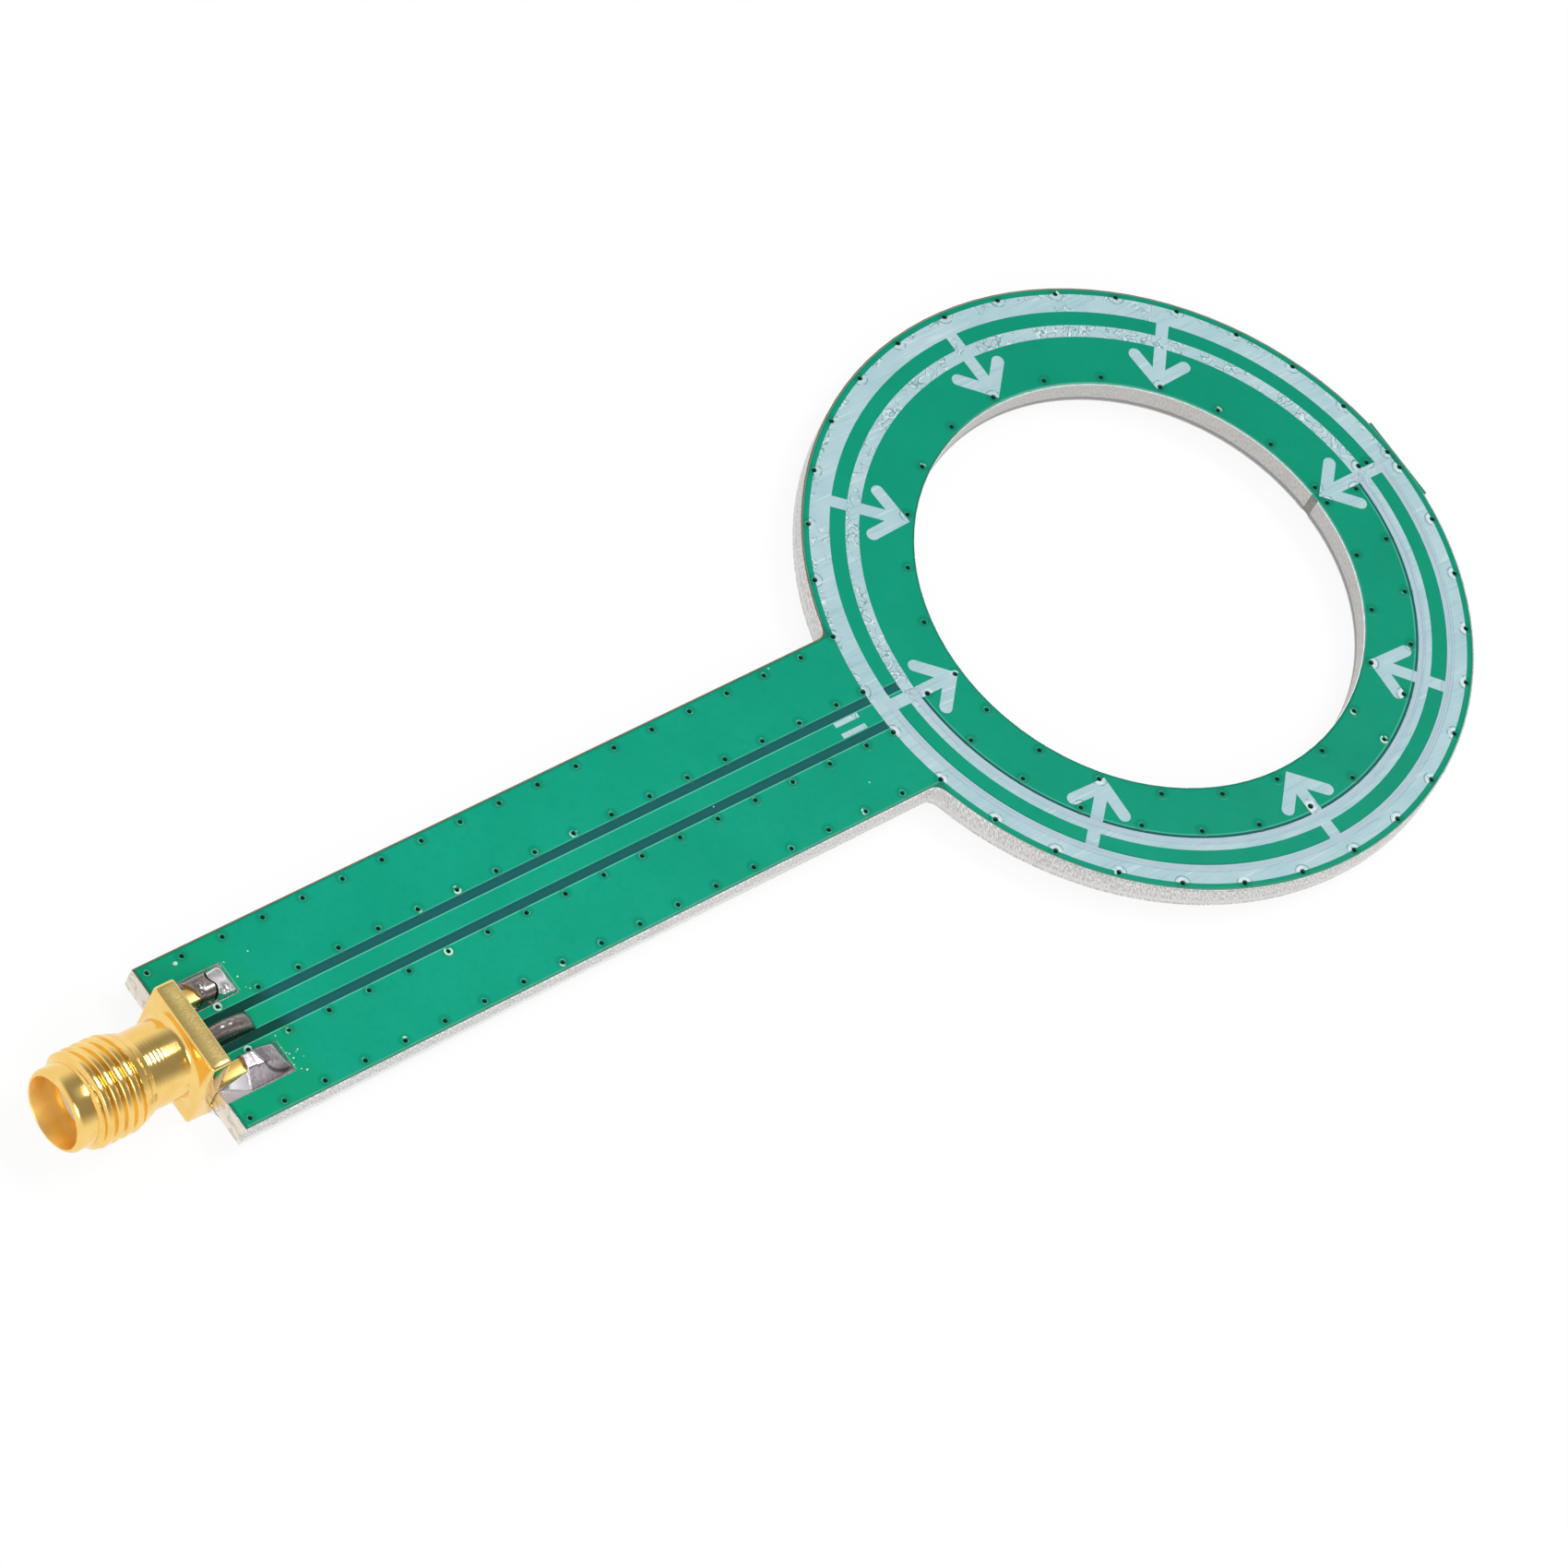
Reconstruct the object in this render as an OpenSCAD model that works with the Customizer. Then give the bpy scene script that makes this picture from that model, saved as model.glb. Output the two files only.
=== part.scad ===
// Loop-type magnetic near field probe: a ring-shaped circuit board with a straight handle, a shield of
// plated edges and stitched ground foils, and a coaxial edge-launch jack on the end of the handle.
// Millimetres. The origin is the centre of the loop at half the board's thickness, the handle runs
// along -X to the jack, and +Z is the printed side.

/* [Board] */
// Outside diameter of the loop, over its edge plating
loop_od = 45.2; // [42:0.1:60]
// Diameter of the open window in the loop
window_d = 30.2; // [20:0.1:33]
// Width of the handle, over its edge plating
handle_w = 12.1; // [11:0.1:16]
// Distance from the loop's centre to the connector end of the board
handle_len = 75.5; // [50:0.5:120]
// Radius that the router leaves where the handle meets the loop
router_r = 0.8; // [0.4:0.1:3]
// Width of the snapped-off tab at the far side of the loop
tab_w = 6; // [3:0.5:10]
// How far the tab's break stands out past the loop's outline
tab_proud = 0.05; // [0:0.05:0.5]

/* [Layers] */
// Thickness of the bare laminate
laminate_t = 1.6; // [0.8:0.1:2.0]
// Thickness of the plated copper on each face
copper_t = 0.07; // [0.03:0.01:0.1]
// Thickness of the plating on the edges
plating_t = 0.05; // [0.03:0.01:0.07]
// Thickness of the solder mask over the copper
mask_t = 0.025; // [0.02:0.005:0.05]
// Distance that the solder mask stops short of the edges
mask_edge = 0.08; // [0.08:0.01:0.2]
// Distance that the solder mask laps past the copper's edge into a slot
mask_lap = 0.1; // [0.05:0.01:0.15]
// Thickness of the printed legend
legend_t = 0.02; // [0.01:0.005:0.04]

/* [Signal line] */
// Width of the signal strip
strip_w = 1.35; // [0.8:0.05:1.6]
// Width of the slot on each side of the strip
slot_w = 0.6; // [0.4:0.05:0.8]
// Distance from the loop's outer edge to the middle of the strip
strip_edge = 2.7; // [2.5:0.05:3]
// Width of the shield gap at the far side of the loop
shield_gap = 0.6; // [0.3:0.05:1]

/* [Vias] */
// Finished hole in a via
via_d = 0.3; // [0.2:0.05:0.4]
// Wall of a via's plated barrel
via_wall = 0.05; // [0.03:0.01:0.06]
// Spacing of the vias along the handle
via_pitch = 3; // [1.5:0.1:6]
// Spacing of the vias round the loop
loop_via_pitch = 4.1; // [2:0.1:8]
// Distance from the handle's and the window's edges to the middle of the vias that follow them
via_edge = 0.6; // [0.45:0.05:0.8]
// Distance from the loop's outer edge to the middle of the vias that follow it
rim_via_edge = 0.45; // [0.4:0.05:0.8]
// Distance from a slot to the middle of the vias that follow it
via_slot = 0.35; // [0.3:0.05:0.5]
// Distance from the connector end to the last full column of vias
via_end = 3.25; // [2.8:0.05:5]
// Distance from the connector end to the two vias in its corners
corner_via_end = 0.7; // [0.5:0.05:1.2]

/* [Legend] */
// Distance from the loop's outer edge to the wide printed ring
ring_edge = 0.5; // [0.3:0.05:0.8]
// Width of the wide printed ring
wide_ring_w = 1.35; // [1:0.05:1.6]
// Space between the two printed rings
ring_space = 1.05; // [0.7:0.05:1.3]
// Width of the narrow printed ring
narrow_ring_w = 0.9; // [0.6:0.05:1.1]
// Number of arrows round the loop
arrow_count = 8; // [2:1:12]
// Width of an arrow's strokes
arrow_w = 0.85; // [0.5:0.05:1]
// Length of an arrow's barb along its middle
barb_len = 2.4; // [1.5:0.1:2.8]
// Distance from the window to an arrow's tip
arrow_tip = 0.4; // [0.2:0.05:1]
// Angle by which the slanting arrows lean over to the handle
arrow_lean = 2.5; // [0:0.5:6]
// Length of the two bars of the index mark on the handle
mark_len = 1.9; // [1:0.1:3]
// Width of the two bars of the index mark
mark_w = 0.35; // [0.2:0.05:0.5]
// Space between the two bars
mark_space = 0.5; // [0.3:0.05:0.6]
// Distance from the loop's outline to the index mark
mark_from_loop = 0.8; // [0.3:0.1:2]

/* [Connector] */
// Side of the square flange
flange_w = 6.3; // [6.2:0.05:7]
// Thickness of the flange
flange_t = 1.5; // [1:0.1:2.5]
// Bevel on the flange's edges
flange_bevel = 0.2; // [0.05:0.05:0.4]
// Diameter of the plain neck behind the thread
neck_d = 5; // [4.8:0.1:5.4]
// Length of the neck
neck_len = 2.9; // [1:0.1:5]
// Radius where the neck runs out into the flange
neck_fillet = 0.5; // [0.1:0.1:0.5]
// Outside diameter of the thread
thread_d = 6.2; // [5.8:0.05:6.3]
// Length of the thread
thread_len = 4.2; // [3:0.1:7]
// Chamfer at both ends of the thread
thread_chamfer = 0.35; // [0.1:0.05:0.5]
// Diameter of the plain collar in front of the thread
collar_d = 5.3; // [5.2:0.05:5.8]
// Length of the collar
collar_len = 1.35; // [1:0.05:3]
// Chamfer on the collar's front edge
collar_chamfer = 0.25; // [0.05:0.05:0.35]
// Diameter of the mouth that the mating plug enters
mouth_d = 4.6; // [4.4:0.05:4.8]
// Depth of the mouth
mouth_depth = 1.9; // [1.5:0.1:3]
// Diameter of the insulator and of its seat in the shell
insulator_d = 4.1; // [3.6:0.05:4.25]
// Depth of the insulator's face below the mouth's floor
insulator_recess = 0.05; // [0.05:0.01:0.2]

/* [Contact] */
// Outside diameter of the contact's socket
socket_d = 1.27; // [1.15:0.01:1.5]
// Hole in the socket
socket_bore = 0.94; // [0.8:0.01:1]
// Depth of the hole in the socket
socket_depth = 2.4; // [1.8:0.1:3.5]
// Length of the whole socket
socket_len = 3.6; // [3.6:0.1:5]
// Width of the slits that part the socket's fingers
slit_w = 0.15; // [0.1:0.01:0.2]
// Length of the slits
slit_len = 1.7; // [1:0.1:1.8]
// Diameter of the tail that lies on the signal strip
tail_d = 0.8; // [0.6:0.05:0.9]
// Length of the tail behind the flange
tail_len = 3.6; // [2:0.1:4]
// Height of the tail's underside over the copper
tail_lift = 0.12; // [0.05:0.01:0.2]

/* [Legs and solder] */
// Width of a leg
leg_w = 1; // [0.8:0.05:1.1]
// Height of an upper leg
leg_h = 1; // [0.6:0.05:1.5]
// Length of the legs behind the flange
leg_len = 3.4; // [2:0.1:4]
// Gap between the legs and the copper
leg_gap = 0.03; // [0.01:0.01:0.1]
// Gap between the board's end and the flange
end_gap = 0.05; // [0.02:0.01:0.3]
// Length of the ground pads from the connector end
ground_pad_len = 5; // [4.5:0.1:7]
// Length of the signal pad from the connector end
signal_pad_len = 4.5; // [4.3:0.1:6]
// Margin of a ground pad inside its leg
pad_inside = 0.25; // [0.1:0.05:0.3]
// Margin of a ground pad outside its leg
pad_outside = 0.9; // [0.4:0.05:1.2]
// Margin of the mask's opening round a pad
pad_margin = 0.05; // [0.03:0.01:0.08]
// Share of a leg's height that the solder climbs
leg_wetting = 0.85; // [0.5:0.05:0.95]
// Share of the tail's height that the solder climbs
tail_wetting = 0.7; // [0.55:0.05:0.9]
// Thickness of the solder at the rim of its pad
solder_rim = 0.08; // [0.03:0.01:0.15]

/* [Hidden] */

// Fineness of the round shapes, and a length that reaches past any cut
$fn = 96;
big_fn = 240;
past = 1;

// Heights of the layers above the middle of the board
laminate_top = laminate_t / 2;
copper_top = laminate_top + copper_t;
mask_top = copper_top + mask_t;

// Radii round the loop
loop_r = loop_od / 2;
window_r = window_d / 2;
strip_r = loop_r - strip_edge;
slot_inner_r = strip_r - strip_w / 2 - slot_w;
wide_outer_r = loop_r - ring_edge;
wide_inner_r = wide_outer_r - wide_ring_w;
narrow_outer_r = wide_inner_r - ring_space;
narrow_inner_r = narrow_outer_r - narrow_ring_w;

// Rows of vias: distances from the middle line on the handle, and radii round the loop
via_drill = via_d + 2 * via_wall;
outer_row_y = handle_w / 2 - via_edge;
inner_row_y = strip_w / 2 + slot_w + via_slot;
outer_row_r = loop_r - rim_via_edge;
window_row_r = window_r + via_edge;
slot_row_r = slot_inner_r - via_slot;
gap_row_y = shield_gap / 2 + via_slot;

// Connector stations along X and the height of its axis
flange_back = -handle_len - end_gap;
flange_front = flange_back - flange_t;
thread_back = flange_front - neck_len;
collar_back = thread_back - thread_len;
rim = collar_back - collar_len;
mouth_floor = rim + mouth_depth;
insulator_face = mouth_floor + insulator_recess;
axis_z = copper_top + tail_lift + tail_d / 2;

// Legs and the pads that they are soldered to
leg_outer_y = flange_w / 2;
leg_inner_y = leg_outer_y - leg_w;
pad_inner_y = leg_inner_y - pad_inside;
pad_outer_y = leg_outer_y + pad_outside;
lower_leg_bottom = axis_z - flange_w / 2;

// Outline of the board without its window, drawn in from the finished edge
module outline_2d(inset) {
    fillet_y = handle_w / 2 + router_r;
    fillet_x = -sqrt(pow(loop_r + router_r, 2) - pow(fillet_y, 2));
    meet = (loop_r - inset) / (loop_r + router_r);
    circle(r = loop_r - inset, $fn = big_fn);
    translate([-handle_len + inset, inset - handle_w / 2])
        square([handle_len - inset, handle_w - 2 * inset]);
    difference() {
        polygon([[fillet_x, -fillet_y], [fillet_x, -fillet_y] * meet,
            [fillet_x, fillet_y] * meet, [fillet_x, fillet_y]]);
        for (side = [-1, 1]) translate([fillet_x, side * fillet_y]) circle(r = router_r + inset);
    }
}

module board_2d(inset) {
    difference() {
        outline_2d(inset);
        circle(r = window_r + inset, $fn = big_fn);
    }
}

// The tab where the loop was snapped out of its panel
module tab_2d() {
    translate([strip_r, -tab_w / 2]) square([loop_r + tab_proud - strip_r, tab_w]);
}

// The signal strip, widened by grow on each side: along the handle, then round the lower half of the loop
// and across the shield gap, where it stops short of the gap's far edge by inset
module strip_2d(grow, inset = 0) {
    half_w = strip_w / 2 + grow;
    strip_end = handle_len - slot_w + grow;
    translate([-strip_end, -half_w]) square([strip_end - strip_r + half_w, 2 * half_w]);
    intersection() {
        difference() {
            circle(r = strip_r + half_w, $fn = big_fn);
            circle(r = strip_r - half_w, $fn = big_fn);
        }
        translate([-loop_r, -loop_r]) square([2 * loop_r, loop_r + shield_gap / 2 - inset]);
    }
}

// The gap across the shield at the far side of the loop
module shield_gap_2d(inset) {
    translate([window_r - past, inset - shield_gap / 2])
        square([loop_r - window_r + 2 * past, shield_gap - 2 * inset]);
}

// Where the top copper is etched away, drawn in from the copper's edges
module top_slots_2d(inset) {
    difference() {
        union() {
            strip_2d(slot_w - inset, inset);
            shield_gap_2d(inset);
        }
        strip_2d(inset);
    }
}

// Stitching vias along a half circle of radius r, from the height start_y above the middle line on the
// far side to end_y on the handle side, evenly spaced
module via_arc_2d(r, start_y, end_y, d) {
    start = asin(start_y / r);
    sweep = 180 - asin(end_y / r) - start;
    count = round(sweep * PI / 180 * r / loop_via_pitch);
    for (i = [0 : count]) rotate(start + sweep * i / count) translate([r, 0]) circle(d = d, $fn = 48);
}

// Every via as a circle of diameter d
module vias_2d(d) {
    first_x = handle_len - via_end;
    columns = floor((first_x - loop_r - via_pitch / 2) / via_pitch);
    for (side = [-1, 1]) {
        for (i = [0 : columns]) for (y = [outer_row_y, inner_row_y])
            translate([i * via_pitch - first_x, side * y]) circle(d = d, $fn = 48);
        translate([corner_via_end - handle_len, side * outer_row_y]) circle(d = d, $fn = 48);
        translate([strip_r + side * via_slot, gap_row_y]) circle(d = d, $fn = 48);
    }
    for (side = [0, 1]) mirror([0, side]) via_arc_2d(outer_row_r, gap_row_y, inner_row_y, d);
    via_arc_2d(window_row_r, gap_row_y, 0, d);
    mirror([0, 1]) via_arc_2d(window_row_r, gap_row_y, via_pitch, d);
    mirror([0, 1]) via_arc_2d(slot_row_r, gap_row_y, via_slot, d);
}

// The pads for the two legs on one face, with a margin round them
module ground_pads_2d(margin) {
    for (side = [0, 1]) mirror([0, side])
        translate([-handle_len, pad_inner_y - margin])
            square([ground_pad_len + margin, pad_outer_y - pad_inner_y + 2 * margin]);
}

module signal_pad_2d(margin) {
    translate([-handle_len, -strip_w / 2 - margin]) square([signal_pad_len + margin, strip_w + 2 * margin]);
}

// One arrow with its tip at the origin, pointing along -X
module arrow_2d(shaft) {
    translate([arrow_w / sqrt(2), 0]) {
        translate([0, -arrow_w / 2]) square([shaft - arrow_w / sqrt(2), arrow_w]);
        for (side = [-1, 1]) rotate(45 * side) {
            translate([-arrow_w / 2, -arrow_w / 2]) square([barb_len + arrow_w / 2, arrow_w]);
            translate([barb_len, 0]) circle(d = arrow_w);
        }
    }
}

// The printed legend: two rings, arrows to the window and two plain bars across the handle
module legend_2d() {
    tip_r = window_r + arrow_tip;
    mark_x = -loop_r - mark_from_loop - mark_len;
    difference() {
        circle(r = wide_outer_r, $fn = big_fn);
        circle(r = wide_inner_r, $fn = big_fn);
    }
    difference() {
        circle(r = narrow_outer_r, $fn = big_fn);
        circle(r = narrow_inner_r, $fn = big_fn);
    }
    for (i = [1 : arrow_count]) {
        turn = i * 360 / arrow_count;
        rotate(turn + arrow_lean * abs(sin(2 * turn)) * sign(sin(turn)))
            translate([tip_r, 0]) arrow_2d((wide_inner_r + wide_outer_r) / 2 - tip_r);
    }
    for (side = [-1, 1]) translate([mark_x, side * (mark_space + mark_w) / 2 - mark_w / 2])
        square([mark_len, mark_w]);
}

// A square-cornered block with every edge bevelled, centred on the origin
module bevelled_block(size, bevel) {
    module face(a, b) {
        polygon([[bevel - a, -b], [a - bevel, -b], [a, bevel - b], [a, b - bevel],
            [a - bevel, b], [bevel - a, b], [-a, b - bevel], [-a, bevel - b]] / 2);
    }
    intersection() {
        linear_extrude(size.z, center = true) face(size.x, size.y);
        rotate([90, 0, 0]) linear_extrude(size.y, center = true) face(size.x, size.z);
        rotate([90, 0, 90]) linear_extrude(size.x, center = true) face(size.y, size.z);
    }
}

// Solder run up to height tall over its pad: full height to the station run, then a hollow slope down to
// the pad's far end, with hollow slopes to the pad's two sides outside the flat top from flat[0] to flat[1]
module solder_run(length, sides, run, flat, tall) {
    steps = 8;
    function slope(t) = solder_rim + (tall - solder_rim) * pow(1 - t, 2);
    along = [for (i = [0 : steps]) [run + (length - run) * i / steps, slope(i / steps)]];
    outside = [for (i = [0 : steps]) [flat[1] + (sides[1] - flat[1]) * i / steps, slope(i / steps)]];
    inside = [for (i = [0 : steps]) [sides[0] + (flat[0] - sides[0]) * i / steps, slope(1 - i / steps)]];
    intersection() {
        rotate([90, 0, 0]) linear_extrude(2 * (abs(sides[0]) + sides[1]), center = true)
            polygon(concat([[0, 0], [0, tall]], along, [[length, 0]]));
        rotate([90, 0, 90]) linear_extrude(length)
            polygon(concat([[sides[0], 0]], inside, outside, [[sides[1], 0]]));
    }
}

// One leg of the connector, on the +Y side, between two heights
module leg(bottom, top) {
    translate([flange_back, leg_inner_y, bottom]) cube([leg_len, leg_w, top - bottom]);
}

module upper_leg() {
    leg(copper_top + leg_gap, copper_top + leg_gap + leg_h);
}

module lower_leg() {
    leg(lower_leg_bottom, -copper_top - leg_gap);
}

// Solder of a leg on the +Y side, from the copper up to its wetted height
module leg_solder(wetted) {
    start = -handle_len;
    translate([start, 0, copper_top])
        solder_run(ground_pad_len, [pad_inner_y, pad_outer_y], flange_back + leg_len - start,
            [leg_inner_y, leg_outer_y], wetted);
}

module top_leg_solder() {
    difference() {
        leg_solder(leg_gap + leg_h * leg_wetting);
        upper_leg();
    }
}

module bottom_leg_solder() {
    difference() {
        mirror([0, 0, 1]) leg_solder((-copper_top - lower_leg_bottom) * leg_wetting);
        lower_leg();
    }
}

// A cylinder along the connector's axis from one station to another nearer its mouth
module on_axis(from, to, d) {
    translate([from, 0, axis_z]) rotate([0, -90, 0]) cylinder(d = d, h = from - to);
}

module laminate() {
    color("darkkhaki") translate([0, 0, -laminate_top]) linear_extrude(laminate_t) difference() {
        union() {
            board_2d(plating_t);
            tab_2d();
        }
        vias_2d(via_drill);
    }
}

module top_ground_copper() {
    color("peru") translate([0, 0, laminate_top]) linear_extrude(copper_t) difference() {
        board_2d(plating_t);
        strip_2d(slot_w);
        shield_gap_2d(0);
        vias_2d(via_drill);
    }
}

module signal_strip() {
    color("peru") translate([0, 0, laminate_top]) linear_extrude(copper_t) strip_2d(0);
}

module bottom_ground_copper() {
    color("peru") translate([0, 0, -copper_top]) linear_extrude(copper_t) difference() {
        board_2d(plating_t);
        shield_gap_2d(0);
        vias_2d(via_drill);
    }
}

module outer_edge_plating() {
    color("silver") translate([0, 0, -copper_top]) linear_extrude(2 * copper_top) difference() {
        outline_2d(0);
        outline_2d(plating_t);
        tab_2d();
    }
}

module inner_edge_plating() {
    color("silver") translate([0, 0, -copper_top]) linear_extrude(2 * copper_top) difference() {
        circle(r = window_r + plating_t, $fn = big_fn);
        circle(r = window_r, $fn = big_fn);
        shield_gap_2d(0);
    }
}

module via_barrels() {
    color("peru") translate([0, 0, -copper_top]) linear_extrude(2 * copper_top) difference() {
        vias_2d(via_drill);
        vias_2d(via_d);
    }
}

module top_solder_mask() {
    color("mediumseagreen") {
        translate([0, 0, laminate_top]) linear_extrude(copper_t) intersection() {
            top_slots_2d(0);
            board_2d(mask_edge);
        }
        translate([0, 0, copper_top]) linear_extrude(mask_t) difference() {
            board_2d(mask_edge);
            top_slots_2d(mask_lap);
            ground_pads_2d(pad_margin);
            signal_pad_2d(pad_margin);
            vias_2d(via_d);
        }
    }
}

module bottom_solder_mask() {
    color("mediumseagreen") {
        translate([0, 0, -copper_top]) linear_extrude(copper_t) intersection() {
            shield_gap_2d(0);
            board_2d(mask_edge);
        }
        translate([0, 0, -mask_top]) linear_extrude(mask_t) difference() {
            board_2d(mask_edge);
            shield_gap_2d(mask_lap);
            ground_pads_2d(pad_margin);
            vias_2d(via_d);
        }
    }
}

module top_legend() {
    color("lightsteelblue") {
        translate([0, 0, mask_top]) linear_extrude(legend_t) difference() {
            legend_2d();
            top_slots_2d(mask_lap);
            vias_2d(via_d);
        }
        translate([0, 0, copper_top]) linear_extrude(legend_t) intersection() {
            legend_2d();
            top_slots_2d(mask_lap);
        }
    }
}

module connector_shell() {
    profile = [[0, 0], [neck_d / 2, 0], [neck_d / 2, neck_len],
        [thread_d / 2 - thread_chamfer, neck_len], [thread_d / 2, neck_len + thread_chamfer],
        [thread_d / 2, neck_len + thread_len - thread_chamfer],
        [thread_d / 2 - thread_chamfer, neck_len + thread_len], [collar_d / 2, neck_len + thread_len],
        [collar_d / 2, flange_front - rim - collar_chamfer],
        [collar_d / 2 - collar_chamfer, flange_front - rim], [0, flange_front - rim]];
    color("gold") difference() {
        union() {
            translate([(flange_back + flange_front) / 2, 0, axis_z])
                bevelled_block([flange_t, flange_w, flange_w], flange_bevel);
            translate([flange_front, 0, axis_z]) rotate([0, -90, 0]) {
                rotate_extrude() polygon(profile);
                rotate_extrude() difference() {
                    translate([neck_d / 2, 0]) square(neck_fillet);
                    translate([neck_d / 2 + neck_fillet, neck_fillet]) circle(r = neck_fillet);
                }
            }
            for (side = [0, 1]) mirror([0, side]) {
                upper_leg();
                lower_leg();
            }
        }
        on_axis(flange_back + past, rim, insulator_d);
        on_axis(mouth_floor, rim - past, mouth_d);
    }
}

module connector_insulator() {
    color("white") difference() {
        on_axis(flange_back, insulator_face, insulator_d);
        on_axis(flange_back + past, insulator_face - past, tail_d);
        on_axis(insulator_face + socket_len, insulator_face - past, socket_d);
    }
}

module connector_contact() {
    color("goldenrod") difference() {
        union() {
            on_axis(insulator_face + socket_len, insulator_face, socket_d);
            on_axis(flange_back + tail_len, insulator_face + socket_len, tail_d);
        }
        on_axis(insulator_face + socket_depth, insulator_face - past, socket_bore);
        translate([insulator_face + slit_len, 0, axis_z]) for (turn = [45, 135])
            rotate([turn, 0, 0]) translate([-slit_len - past, -slit_w / 2, -socket_d])
                cube([slit_len + past, slit_w, 2 * socket_d]);
    }
}

module left_top_solder() {
    color("silver") top_leg_solder();
}

module right_top_solder() {
    color("silver") mirror([0, 1, 0]) top_leg_solder();
}

module signal_solder() {
    start = slot_w - handle_len;
    half_w = strip_w / 2;
    color("silver") difference() {
        translate([start, 0, copper_top])
            solder_run(signal_pad_len - slot_w, [-half_w, half_w], flange_back + tail_len - start,
                [-tail_d / 2, tail_d / 2], tail_lift + tail_d * tail_wetting);
        on_axis(flange_back + tail_len, flange_back, tail_d);
    }
}

module left_bottom_solder() {
    color("silver") bottom_leg_solder();
}

module right_bottom_solder() {
    color("silver") mirror([0, 1, 0]) bottom_leg_solder();
}

laminate();
top_ground_copper();
signal_strip();
bottom_ground_copper();
outer_edge_plating();
inner_edge_plating();
via_barrels();
top_solder_mask();
bottom_solder_mask();
top_legend();
connector_shell();
connector_insulator();
connector_contact();
left_top_solder();
right_top_solder();
signal_solder();
left_bottom_solder();
right_bottom_solder();
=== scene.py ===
import math
import random

import bmesh
import bpy
from mathutils import Matrix, Vector


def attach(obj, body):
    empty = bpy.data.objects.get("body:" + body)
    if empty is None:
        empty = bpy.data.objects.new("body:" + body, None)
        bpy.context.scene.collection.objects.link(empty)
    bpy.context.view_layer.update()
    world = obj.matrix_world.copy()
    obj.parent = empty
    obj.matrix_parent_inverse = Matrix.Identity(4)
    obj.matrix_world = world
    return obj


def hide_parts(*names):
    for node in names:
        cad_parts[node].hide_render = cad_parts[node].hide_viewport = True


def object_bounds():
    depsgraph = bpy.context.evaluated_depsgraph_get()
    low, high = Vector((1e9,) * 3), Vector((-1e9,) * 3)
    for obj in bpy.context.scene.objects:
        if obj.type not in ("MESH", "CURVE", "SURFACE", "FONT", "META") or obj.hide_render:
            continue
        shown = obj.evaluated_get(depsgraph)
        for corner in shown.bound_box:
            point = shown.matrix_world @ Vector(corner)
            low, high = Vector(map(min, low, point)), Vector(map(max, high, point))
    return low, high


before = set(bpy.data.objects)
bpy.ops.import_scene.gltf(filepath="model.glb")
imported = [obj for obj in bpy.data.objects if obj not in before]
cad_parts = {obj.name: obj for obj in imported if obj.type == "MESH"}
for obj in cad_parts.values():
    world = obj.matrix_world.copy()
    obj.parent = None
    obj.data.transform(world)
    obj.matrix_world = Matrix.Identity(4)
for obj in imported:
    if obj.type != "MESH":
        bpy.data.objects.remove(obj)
cad_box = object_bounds()

# The board is routed from woven glass-epoxy sheet.
# Its bare side shows where the panel tab was snapped off and inside the shield gap, as pale layers of cloth.
# A film of green lacquer still covers the top of what is left of the tab.
MM = 0.001
cloth_pitch, laminate_top = 0.2, 0.8


def tone(red, green, blue):
    """A colour picked in 0 to 255 steps, as the linear light that a shader takes."""
    steps = [v / 255 for v in (red, green, blue)]
    return (*[v / 12.92 if v < 0.04045 else ((v + 0.055) / 1.055) ** 2.4 for v in steps], 1.0)


class Shade:
    """One socket of a finish. Sums, products and the like of shades add Math nodes to it."""

    def __init__(self, tree, socket=None):
        self.tree = tree
        self.socket = socket

    def node(self, kind, settings, sockets, out=0):
        """The output of a new node of any kind, with shades or fixed values at its inputs."""
        made = self.tree.nodes.new(kind)
        for name, value in settings.items():
            setattr(made, name, value)
        for name, value in sockets.items():
            if isinstance(value, Shade):
                self.tree.links.new(value.socket, made.inputs[name])
            else:
                made.inputs[name].default_value = value
        return Shade(self.tree, made.outputs[out])

    def maths(self, operation, first, second=0.0):
        return self.node("ShaderNodeMath", {"operation": operation}, {0: first, 1: second})

    def __add__(self, other):
        return self.maths("ADD", self, other)

    def __radd__(self, other):
        return self.maths("ADD", other, self)

    def __sub__(self, other):
        return self.maths("SUBTRACT", self, other)

    def __rsub__(self, other):
        return self.maths("SUBTRACT", other, self)

    def __mul__(self, other):
        return self.maths("MULTIPLY", self, other)

    def __rmul__(self, other):
        return self.maths("MULTIPLY", other, self)

    def __truediv__(self, other):
        return self.maths("DIVIDE", self, other)

    def __rtruediv__(self, other):
        return self.maths("DIVIDE", other, self)

    def __mod__(self, other):
        return self.maths("FLOORED_MODULO", self, other)

    def __pow__(self, other):
        return self.maths("POWER", self, other)

    def __abs__(self):
        return self.maths("ABSOLUTE", self)

    def least(self, other):
        return self.maths("MINIMUM", self, other)

    def most(self, other):
        return self.maths("MAXIMUM", self, other)

    def rise(self, low, high):
        """0 below low, 1 above high and a smooth step between; with high under low it falls."""
        return self.node("ShaderNodeMapRange", {"interpolation_type": "SMOOTHSTEP"},
                         {"Value": self, "From Min": low, "From Max": high})

    def paint(self, under, over):
        """The colour under, covered by the colour over as far as this shade says."""
        return self.node("ShaderNodeMix", {"data_type": "RGBA"}, {0: self, 6: under, 7: over}, out=2)

    def mottle(self, first, second):
        """Two colours in soft patches, where this shade is a cloudy noise."""
        return self.rise(0.3, 0.7).paint(first, second)


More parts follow.
